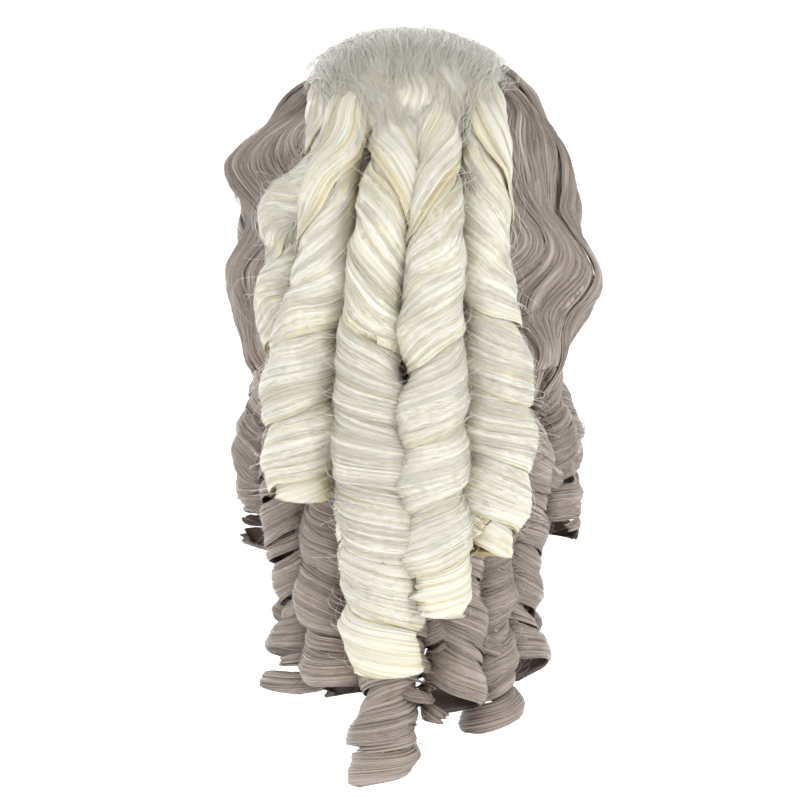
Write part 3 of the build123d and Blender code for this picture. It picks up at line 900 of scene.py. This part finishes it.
def make_crown():
    """Ivory hair from the hairline back over the crown, over a close layer that hides the cap."""
    surface = Crown(crown_out, lambda t, v: v * (1 - 0.1 * smoothstep(t, 1.7, 2.5)))
    scale = HEAD_X + 22 * MM
    replaced = [f"crown_lock_{i}" for i in range(1, 6)] + ["front_roll_centre"]
    under = look_of(scale, 260, arch=0.0, thick=1.4 * MM, under=40, clump=6)
    lay_locks("crown_base", surface, [(0.0, radians(42))], 0.46, 2.5, under, -0.8 * MM, 70, IVORY,
              replaced, 60, spread=0.0, taper=1.0, flyaways=60, stray=2.5 * MM)
    lock = look_of(scale, 84, arch=0.8 * MM, thick=2.4 * MM, mottle=0.07, edge=0.06)
    lanes = [(radians(a), radians(5.8)) for a in np.linspace(-38, 38, 13)]
    lay_locks("crown_locks", surface, lanes, lambda m: float(hairline_roll(m)) - 0.02, 2.5, lock, -0.6 * MM,
              54, IVORY, (), 56, spread=0.4 * MM, sink=6 * MM, flyaways=34, stray=2.2 * MM)
    make_crown_veil()


# How far off the head the veil runs where it leaves the crown.
VEIL_OUT = 22.5 * MM


def veil_out(roll, lean):
    """How far off the head the veil is: on the crown's hair, and no lower than VEIL_OUT past its middle."""
    return np.maximum(crown_out(roll, lean), VEIL_OUT * smoothstep(np.pi / 2 - abs(lean), 0.6, 1.0))


def make_crown_veil():
    """Single ivory hairs that run on from the crown over the tops of the ringlets."""
    veil = Piece("crown_veil")
    t = np.linspace(1.15, 2.72, 30)
    none = np.zeros(len(t))
    loose(veil, rng_for("crown_veil"), Crown(veil_out), t, none, none + radians(36), none,
          look_of(HEAD_X, 8, arch=0.0), 240, 0.19 * MM, 0.12, (0.3 * MM, 3.0 * MM), stray=0.8 * MM)
    veil.make(IVORY, "root")


def temple_out(roll, lean):
    """How far the hair at the temples stands off the head."""
    return 3 * MM + 13 * MM * smoothstep(roll, hairline_roll(lean), hairline_roll(lean) + 0.4)


def make_front_sides():
    """Taupe hair brushed back from the hairline at each temple."""
    surface = Crown(temple_out, lambda t, v: v * (1 + 0.12 * smoothstep(t, 0.6, 1.5)))
    look = look_of(HEAD_X + 14 * MM, 84, arch=1.8 * MM, thick=3 * MM, mottle=0.12)
    for side, name in ((1, "left"), (-1, "right")):
        lanes = [(side * radians(a), radians(5.6)) for a in np.linspace(40, 84, 8)]
        lay_locks(f"front_roll_{name}", surface, lanes, lambda m: float(hairline_roll(m)), 1.5, look, 0.0, 40,
                  TAUPE, [f"front_roll_{name}"], 60, sink=5 * MM)


# ---------------------------------------------------------------- the waved sides

# How far the waves stand off the head on each side, against the distance down from the crown's edge.
WAVES = {
    "left": [(0, 14), (26, 16), (48, 18), (68, 21.5), (84, 14), (96, 10), (104, 15), (119, 22), (150, 25.5),
             (168, 25), (182, 17), (192, 8)],
    "right": [(0, 19), (26, 18), (48, 15.6), (72, 10), (88, 9.6), (101, 16), (119, 24), (135, 28.5),
              (148, 28), (160, 23.5), (172, 17), (186, 8)],
}
# How far round the head the sides reach, from straight sideways, and how far down.
SIDE_FRONT = radians(-31)
SIDE_BACK = radians(64)
SIDE_LENGTH = 186 * MM


def make_sides():
    """Waved taupe hair on each side: a close under layer and a row of overlapping locks."""
    for side, name in ((1, "left"), (-1, "right")):
        rng = rng_for("sides_" + name)
        phase = rng.uniform(0, 2 * pi)

        def sway(t, v, phase=phase):
            wave = np.sin(2 * pi * t / (84 * MM) + phase + 2.2 * v)
            ripple = 0.35 * np.sin(2 * pi * t / (47 * MM) + 3 * v)
            return 0.12 * (wave + ripple) * smoothstep(t, 0, 50 * MM)

        surface = Side(side, [(drop * MM, out * MM) for drop, out in WAVES[name]], sway)
        nodes = [f"side_wave_{name}_{part}" for part in ("upper", "middle", "lower")]
        nodes.append(f"temple_panel_{name}")
        middle, half = (SIDE_FRONT + SIDE_BACK) / 2, (SIDE_BACK - SIDE_FRONT) / 2
        scale = HEAD_Y + 18 * MM
        under = look_of(scale, 300, arch=0.0, thick=1.5 * MM, clump_height=0.4 * MM, under=40, clump=6,
                        mottle=0.12, ragged=2 * MM)
        lay_locks(f"side_base_{name}", surface, [(middle, half)], 0.0, SIDE_LENGTH - 14 * MM, under,
                  -2.5 * MM, 80, TAUPE, nodes, 60, spread=0.0, taper=1.0)
        lock = look_of(scale, 84, arch=1.9 * MM, thick=2.8 * MM, clump_height=0.35 * MM, mottle=0.15,
                       edge=0.3, turned=0.3, ragged=2 * MM)
        lanes = [(v, radians(rng.uniform(4.6, 6.2))) for v in np.linspace(SIDE_FRONT, SIDE_BACK, 14)]
        lay_locks(f"side_locks_{name}", surface, lanes, 2 * MM, SIDE_LENGTH + 6 * MM, lock, -1.5 * MM, 64,
                  TAUPE, (), 52, stray=2.2 * MM, spread=1.5 * MM, sink=3 * MM)


def make_back():
    """Taupe wefts under the ivory ringlets."""
    surface = Back(lambda t, v: 6 * MM + 2 * MM * np.sin(t / (17 * MM)) * smoothstep(t, 0, 60 * MM))
    nodes = [f"back_weft_{part}" for part in ("crown", "upper", "middle", "lower")]
    scale = HEAD_X + 20 * MM
    under = look_of(scale, 200, arch=0.0, thick=0.9 * MM, under=40)
    lay_locks("back_base", surface, [(0.0, radians(58))], 0.0, 148 * MM, under, -0.3 * MM, 50, TAUPE,
              nodes, 30, spread=0.0, taper=1.0)
    lock = look_of(scale, 54, arch=2.2 * MM, thick=2.4 * MM, mottle=0.12)
    lanes = [(radians(a), radians(5.2)) for a in np.linspace(-54, 54, 13)]
    lay_locks("back_locks", surface, lanes, 20 * MM, 158 * MM, lock, 0.5 * MM, 40, TAUPE, (), 24,
              sink=3 * MM)


# ---------------------------------------------------------------- the cap

# The cap's front edge and its edge behind the ears, each as two (Y, Z) points, and its yarns' spacing.
HAIRLINE = ((-67 * MM, 15 * MM), (-88 * MM, 50 * MM))
EAR_LINE = ((25 * MM, -60 * MM), (-10 * MM, 5 * MM))
NET_PITCH = 4.2 * MM


def cloth(name, colour, thread, along):
    """Knitted or woven tape: its threads show in its colour and bump. along is a scale for X, Y and Z, larger
    across the ribs."""
    material, tree, shader = principled(name, **{"Sheen Weight": 0.25, "Roughness": 0.82})
    place = add_node(tree, "TexCoord").outputs["Object"]
    stretch = add_node(tree, "Mapping", place, Scale=along)
    weave = add_node(tree, "TexVoronoi", stretch.outputs["Vector"], Scale=thread, Randomness=0.35)
    wear = add_node(tree, "TexNoise", place, Scale=60.0)
    both = add_sum(tree, "MULTIPLY", weave.outputs["Distance"], wear.outputs["Fac"])
    light = [min(1.0, c * 1.7) for c in colour]
    dark = [c * 0.45 for c in colour]
    colour_from(tree, shader, both.outputs["Value"], (0.05, light), (0.45, dark))
    bump_from(tree, shader, weave.outputs["Distance"], 0.6, 0.2 * MM).invert = True
    return material


def hard(name, colour, metallic, roughness, grain):
    """Moulded plastic or steel with a fine grain in its colour and gloss."""
    material, tree, shader = principled(name, Metallic=metallic)
    place = add_node(tree, "TexCoord").outputs["Object"]
    grains = add_node(tree, "TexNoise", place, Scale=grain, Detail=6.0).outputs["Fac"]
    dark = [c * 0.75 for c in colour]
    light = [c * 1.2 for c in colour]
    colour_from(tree, shader, grains, (0.0, dark), (1.0, light))
    roughness_from(tree, shader, grains, roughness - 0.1, roughness + 0.15)
    bump_from(tree, shader, grains, 0.2, 0.05 * MM)
    return material


def woven(name, node, body, material, slot, across, rib, depth=0.09 * MM, voxel=0.6 * MM):
    """A soft piece of the cap, from its CAD solid: an evenly meshed tape with its ribs raised in it."""
    piece = placed(name, frame["nodes"][node].data.copy())
    even = piece.modifiers.new("even", "REMESH")
    even.mode = "VOXEL"
    even.voxel_size = voxel
    even.use_smooth_shade = True
    depsgraph = bpy.context.evaluated_depsgraph_get()
    made = bpy.data.meshes.new_from_object(piece.evaluated_get(depsgraph))
    piece.modifiers.clear()
    piece.data = made
    made.materials.clear()
    made.materials.append(material)
    points = np.empty(len(made.vertices) * 3, np.float32)
    normals = np.empty_like(points)
    made.vertices.foreach_get("co", points)
    made.vertices.foreach_get("normal", normals)
    points, normals = points.reshape(-1, 3), normals.reshape(-1, 3)
    ribs = np.sin(2 * pi * (points @ np.array(across)) / rib)
    points = points + normals * (ribs * depth)[:, None]
    made.vertices.foreach_set("co", points.astype(np.float32).ravel())
    made.update()
    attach(piece, body)
    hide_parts(node)


def line_at(line, z):
    """Y on a line through two (Y, Z) points, at height z."""
    (y0, z0), (y1, z1) = line
    return y0 + (z - z0) * (y1 - y0) / (z1 - z0)


def clipped(points, inside, count):
    """The longest run of points that are inside, resampled to an even count."""
    edges = np.flatnonzero(np.diff(np.concatenate([[False], inside, [False]]).astype(int)))
    if len(edges) == 0:
        return None
    runs = edges.reshape(-1, 2)
    first, last = runs[np.argmax(runs[:, 1] - runs[:, 0])]
    if last - first < 4:
        return None
    run = points[first:last]
    share = np.linspace(0, len(run) - 1, count)
    return np.stack([np.interp(share, np.arange(len(run)), run[:, k]) for k in range(3)], axis=1)


def net_piece(name, nodes, lines, material):
    """A net of crossing yarns. lines is every yarn as points."""
    lines = np.array([line for line in lines if line is not None])
    piece = Piece(name)
    yarns = len(lines)
    widths = np.full(lines.shape[:2], 0.38 * MM)
    piece.strands(lines, off_head(lines), widths, np.full(yarns, 0.5), np.zeros(yarns, int))
    piece.make(("cap_net", [material]), "root", nodes)


def make_nets(material):
    """The knitted net of the cap, as its crossing yarns: over the dome, and round the nape below it."""
    out = 0.5 * MM
    roll = np.linspace(0.05, pi - 0.02, 400)
    over = []
    for hand in (1, -1):
        for start in np.arange(-pi, pi, NET_PITCH * 1.4 / HEAD_X):
            lean = start + hand * (roll - pi / 2)
            points = dome_point(lean, roll, out)
            inside = (np.abs(lean) < pi / 2) & (points[:, 1] > line_at(HAIRLINE, points[:, 2]))
            over.append(clipped(points, inside, 60))
    net_piece("crown_net_yarns", ["crown_net"], over, material)
    round_nape = []
    z = np.linspace(NAPE_Z, DOME_Z, 200)
    half_x, half_y = form_at(z)
    for hand in (1, -1):
        for start in np.arange(-pi, pi, NET_PITCH * 1.4 / HEAD_Y):
            turn = start + hand * (z - NAPE_Z) / HEAD_Y
            points = np.stack([(half_x + out) * np.sin(turn), (half_y + out) * np.cos(turn), z], axis=1)
            round_nape.append(clipped(points, points[:, 1] > line_at(EAR_LINE, z), 24))
    net_piece("nape_net_yarns", ["nape_net"], round_nape, material)


# The height of each row of stitches, in mm.
STITCHED = (6, -8, -22, -36, -46.5, -57.5)


def make_stitches(material):
    """Zigzag stitches that hold each weft track and the nape band to the net, seen from inside the cap."""
    piece = Piece("track_stitches")
    lines = []
    for track in STITCHED:
        half_x, half_y = form_at(track * MM)
        end = np.arccos(line_at(EAR_LINE, track * MM) / half_y) - 0.03
        turn = np.linspace(-end, end, int(2 * end * HEAD_Y / (1.5 * MM)))
        z = track * MM + np.where(np.arange(len(turn)) % 2, 0.9, -0.9) * MM
        out = -1.6 * MM if track < -45 else -0.15 * MM
        line = np.stack([(half_x + out) * np.sin(turn), (half_y + out) * np.cos(turn), z], axis=1)
        lines += [line[i: i + 2] for i in range(len(line) - 1)]
    lines = np.array(lines)
    piece.strands(lines, off_head(lines) * -1, np.full(lines.shape[:2], 0.4 * MM), np.full(len(lines), 0.5),
                  np.zeros(len(lines), int))
    piece.make(("weft_thread", [material]), "root")


def make_cap():
    """The cap that the hair is sewn to, with its bands, tapes, tabs, straps and hooks."""
    net = cloth("cap_net_yarn", (0.16, 0.13, 0.11), 900.0, (1, 1, 1))
    elastic = cloth("cap_elastic_tape", (0.10, 0.08, 0.07), 700.0, (1, 1, 1.8))
    thread = cloth("weft_thread_stitch", (0.24, 0.19, 0.165), 1400.0, (1, 1, 1))
    make_nets(net)
    make_stitches(thread)
    (y0, z0), (y1, z1) = HAIRLINE
    off_hairline = unit(np.array([0, z1 - z0, y0 - y1]))
    upright = (0, 0, 1)
    fine = (0.05 * MM, 0.4 * MM)

    def tape(name, node, across, rib, body="root", build=()):
        woven(name, node, body, elastic, "cap_elastic", across, rib, *build)

    tape("front_band_tape", "front_band", off_hairline, 2.0 * MM)
    tape("nape_band_tape", "nape_band", upright, 2.0 * MM)
    tape("crown_tapes_woven", "crown_tapes", (1, 0, 0), 2.0 * MM)
    woven("weft_tracks_sewn", "weft_tracks", "root", thread, "weft_thread", upright, 1.5 * MM)
    tape("adjuster_loops_sewn", "adjuster_loops", upright, 1.0 * MM, build=(0.03 * MM, 0.25 * MM))
    for side in ("left", "right"):
        tape(f"ear_tab_{side}_cloth", f"ear_tab_{side}", (0, 1, 0), 1.6 * MM)
        tape(f"strap_casing_{side}_tape", f"strap_casing_{side}", upright, 2.0 * MM, build=fine)
        strap = f"adjuster_strap_{side}"
        tape(strap + "_tape", strap, upright, 1.6 * MM, f"strap_{side}", fine)
    plastic = hard("hook_nylon", (0.06, 0.05, 0.045), 0.0, 0.45, 900.0)
    steel = hard("stay_spring_steel", (0.55, 0.55, 0.56), 1.0, 0.32, 400.0)
    for side in ("left", "right"):
        for node, material in ((f"adjuster_hook_{side}", plastic), (f"ear_stay_{side}", steel)):
            for slot in frame["nodes"][node].material_slots:
                slot.material = material


make_cap()
make_cream_ringlets()
make_split_curl()
make_taupe_ringlets()
make_crown()
make_front_sides()
make_sides()
make_back()


# ---------------------------------------------------------------- camera, light and stage


def make_camera():
    """Behind the wig and a little above, as far off as a product picture is taken."""
    data = bpy.data.cameras.new("camera")
    camera = placed("camera", data)
    distance = 1.7
    height_seen = 0.416
    target = np.array([5 * MM, 60 * MM, -75 * MM])
    rise = radians(5)
    camera.location = target + distance * np.array([0, cos(rise), sin(rise)])
    camera.rotation_euler = (pi / 2 - rise, 0, pi)
    data.sensor_width = 36
    data.lens = data.sensor_width * distance / height_seen
    data.clip_start = 0.05
    bpy.context.scene.camera = camera


# The lights: where each is, its width and height, all in metres, and its power in watts.
LIGHTS = {
    "key": ((-1.35, 1.6, 0.75), 0.35, 1.4, 8.2),
    "top": ((0.1, 0.9, 1.9), 0.8, 0.8, 3.6),
    "second_key": ((1.2, 1.7, 0.8), 0.35, 1.4, 2.4),
    "front_fill": ((0.3, -1.8, 0.9), 1.0, 1.0, 4),
}
LIGHTS_AIM = (0, 0, -0.08)


def area_light(name, place, wide, tall, power):
    """A soft light that faces the wig."""
    data = bpy.data.lights.new(name, "AREA")
    data.shape = "RECTANGLE"
    data.size = wide
    data.size_y = tall
    data.energy = power
    light = placed(name, data)
    light.location = place
    x, y, z = np.array(place) - np.array(LIGHTS_AIM)
    light.rotation_euler = (np.arctan2(np.hypot(x, y), z), 0, np.arctan2(x, -y))


def make_stage():
    """A pale bowl: a flat floor that sweeps up into a wall all round."""
    profile = [(0.0, -0.46), (3.0, -0.46), (3.8, -0.36), (4.3, 0.0), (4.5, 0.6), (4.5, 3.0)]
    segments = 96
    turns = [2 * pi * i / segments for i in range(segments)]
    verts = [(radius * cos(turn), radius * sin(turn), z) for radius, z in profile for turn in turns]
    faces = []
    for a in range(0, (len(profile) - 1) * segments, segments):
        for i in range(segments):
            j = (i + 1) % segments
            faces.append((a + i, a + j, a + segments + j, a + segments + i))
    mesh = bpy.data.meshes.new("stage")
    mesh.from_pydata(verts, [], faces)
    mesh.polygons.foreach_set("use_smooth", [True] * len(faces))
    stage = placed("stage", mesh)
    paint = {"Base Color": (0.95, 0.95, 0.95, 1), "Roughness": 0.9, "Emission Color": (1, 1, 1, 1),
             "Emission Strength": 0.42}
    mesh.materials.append(principled("stage_white", **paint)[0])


def make_backdrop():
    """A bright panel behind the wig as the camera sees it, past the reach of the other views' cameras."""
    mesh = bpy.data.meshes.new("backdrop")
    corners = [(-2.6, -3.4, -0.4), (2.6, -3.4, -0.4), (2.6, -3.4, 2.4), (-2.6, -3.4, 2.4)]
    mesh.from_pydata(corners, [], [(0, 1, 2, 3)])
    backdrop = placed("backdrop", mesh)
    glow = {"Base Color": (1, 1, 1, 1), "Emission Color": (1, 1, 1, 1), "Emission Strength": 1.0}
    mesh.materials.append(principled("backdrop_white", **glow)[0])


def make_light():
    """An even white surround and the lights."""
    world = bpy.data.worlds.new("studio")
    world.use_nodes = True
    background = world.node_tree.nodes["Background"]
    background.inputs["Color"].default_value = (1, 1, 1, 1)
    background.inputs["Strength"].default_value = 0.4
    bpy.context.scene.world = world
    for name, light in LIGHTS.items():
        area_light(name, *light)
    bpy.context.scene.view_settings.view_transform = "Standard"


make_camera()
make_light()
make_stage()
make_backdrop()
